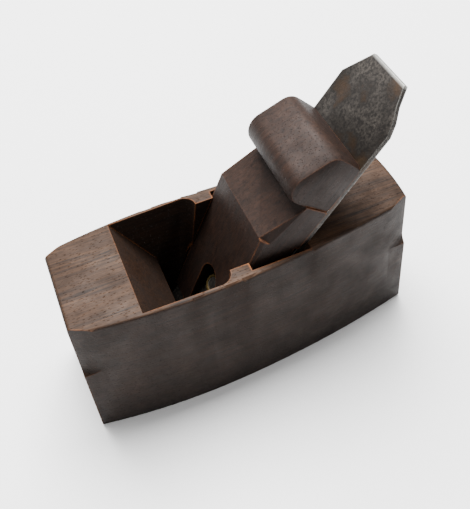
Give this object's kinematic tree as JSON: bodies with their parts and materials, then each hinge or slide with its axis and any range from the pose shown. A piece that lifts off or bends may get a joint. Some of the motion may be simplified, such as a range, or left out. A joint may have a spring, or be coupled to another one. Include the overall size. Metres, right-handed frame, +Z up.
{
  "type": "smoothing plane",
  "caption": "Coffin-shaped wooden smoothing plane: a beech stock whose wedge holds a tapered cutting iron with a short cap iron in an open throat.",
  "frame": {"origin": "middle of the sole, under the middle of the body's length", "axes": "+X towards the toe, +Y towards the plane's left side, +Z up from the sole"},
  "size_m": [0.161, 0.0586, 0.1348],
  "materials": {
    "stock_beech": "old oiled beech, dark with handling, rubbed bright brown at the edges",
    "wedge_beech": "old oiled beech, redder, mottled, with worn edges",
    "blade_steel": "dark pitted old steel",
    "cap_steel": "dark old steel",
    "boss_brass": "dull tarnished brass",
    "screw_steel": "dull old steel"
  },
  "bodies": {
    "stock": {"stock": "stock_beech"},
    "iron": {"cutting_iron": "blade_steel"},
    "cap": {"cap_iron": "cap_steel", "cap_boss": "boss_brass"},
    "screw": {"cap_screw": "screw_steel"},
    "wedge": {"wedge": "wedge_beech"}
  },
  "joints": [
    {"name": "iron_slide", "type": "slide", "parent": "stock", "child": "iron", "axis": [-0.6428, 0, 0.766], "range_m": [-0.0005, 0.1]},
    {"name": "cap_slide", "type": "slide", "parent": "iron", "child": "cap", "axis": [-0.6488, 0, 0.7609], "range_m": [0, 0.003]},
    {"name": "screw_turn", "type": "hinge", "parent": "cap", "child": "screw", "pos_m": [0.0087, 0, 0.03624], "axis": [0.7609, 0, 0.6488], "range_deg": [0, 720]},
    {"name": "wedge_slide", "type": "slide", "parent": "iron", "child": "wedge", "axis": [-0.6488, 0, 0.7609], "range_m": [0, 0.1]}
  ]
}
